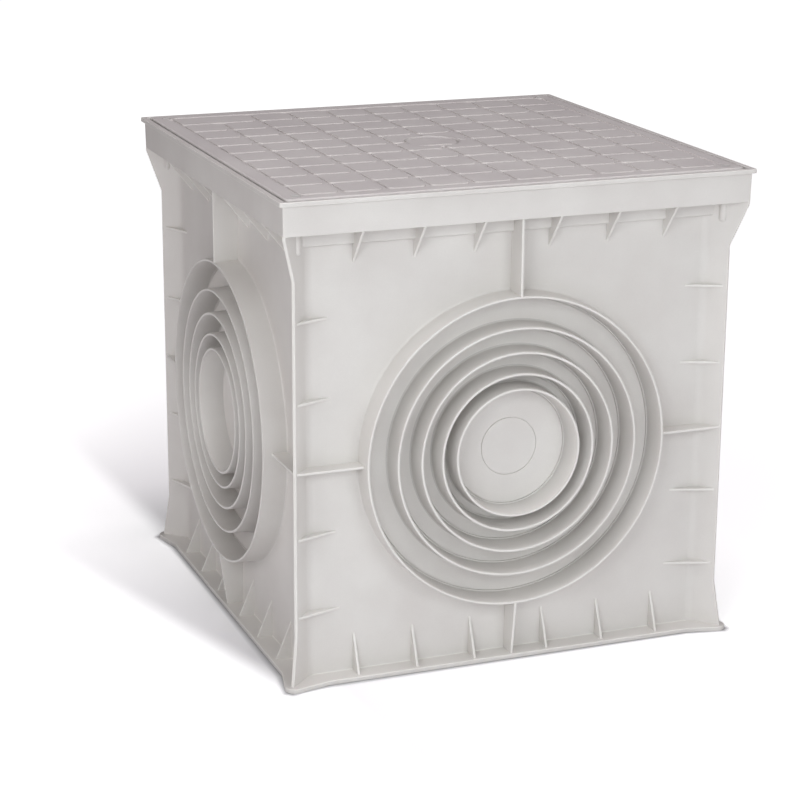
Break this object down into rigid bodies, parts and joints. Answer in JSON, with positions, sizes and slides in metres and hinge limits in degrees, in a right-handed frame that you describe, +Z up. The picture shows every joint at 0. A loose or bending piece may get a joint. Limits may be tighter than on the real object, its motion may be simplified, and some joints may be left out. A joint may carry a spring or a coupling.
{
  "type": "drain inspection chamber",
  "caption": "Square moulded drain inspection chamber with nested pipe rings on its sides, thin outer ribs and a screwed lid with raised tiles.",
  "frame": {"origin": "centre of the base's underside", "axes": "+Z up through the lid, -Y towards the front face, +X to its right"},
  "size_m": [0.4, 0.4, 0.3962],
  "materials": {
    "body": "satin moulded polypropylene",
    "lid": "satin moulded polypropylene",
    "screws": "plain stainless steel"
  },
  "bodies": {
    "root": {"chamber_body": "body", "lid": "lid", "lid_screw_front_left": "screws", "lid_screw_front_right": "screws", "lid_screw_back_left": "screws", "lid_screw_back_right": "screws"}
  },
  "joints": []
}
